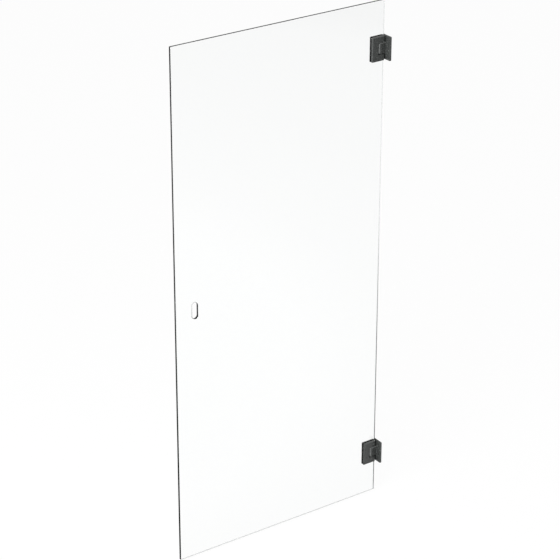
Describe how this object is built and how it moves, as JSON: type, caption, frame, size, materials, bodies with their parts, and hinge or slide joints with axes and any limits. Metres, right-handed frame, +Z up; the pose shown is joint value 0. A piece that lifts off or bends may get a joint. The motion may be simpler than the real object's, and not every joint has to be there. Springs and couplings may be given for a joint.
{
  "type": "shower door",
  "caption": "Frameless clear glass shower door with a finger hole, hung by square black clamp hinges with offset wall plates.",
  "frame": {"origin": "where the pane's mid plane meets the wall face of the lower wall plate, level with the middle of the lower hinge", "axes": "+X into the wall, +Y towards the rear of the pane, +Z up"},
  "size_m": [0.9096, 0.049, 2],
  "materials": {
    "toughened_glass": "clear toughened float glass, polished edges",
    "black_hinge": "semi-gloss black powder coat on brass",
    "black_cap": "semi-gloss black moulded cap",
    "gasket": "matt black fibre-filled rubber",
    "acetal": "black acetal",
    "hard_steel": "ground stainless steel",
    "spring_steel": "drawn stainless spring wire",
    "steel_screw": "stainless steel",
    "black_screw": "black coated stainless steel"
  },
  "bodies": {
    "wall_side": {"upper_wall_plate": "black_hinge", "upper_screw_caps": "black_cap", "upper_pivot_block": "black_hinge", "upper_block_screws": "steel_screw", "upper_pin_bushes": "acetal", "upper_detent_plungers": "hard_steel", "upper_detent_springs": "spring_steel", "lower_wall_plate": "black_hinge", "lower_screw_caps": "black_cap", "lower_pivot_block": "black_hinge", "lower_block_screws": "steel_screw", "lower_pin_bushes": "acetal", "lower_detent_plungers": "hard_steel", "lower_detent_springs": "spring_steel"},
    "door": {"glass_panel": "toughened_glass", "upper_pivot_pin": "hard_steel", "upper_front_clamp": "black_hinge", "upper_rear_clamp": "black_hinge", "upper_front_gasket": "gasket", "upper_rear_gasket": "gasket", "upper_clamp_screws": "black_screw", "upper_lock_screws": "black_screw", "lower_pivot_pin": "hard_steel", "lower_front_clamp": "black_hinge", "lower_rear_clamp": "black_hinge", "lower_front_gasket": "gasket", "lower_rear_gasket": "gasket", "lower_clamp_screws": "black_screw", "lower_lock_screws": "black_screw"}
  },
  "joints": [
    {"name": "door_swing", "type": "hinge", "parent": "wall_side", "child": "door", "pos_m": [-0.02756, 0, 0], "axis": [0, 0, 1], "range_deg": [-90, 90]}
  ]
}
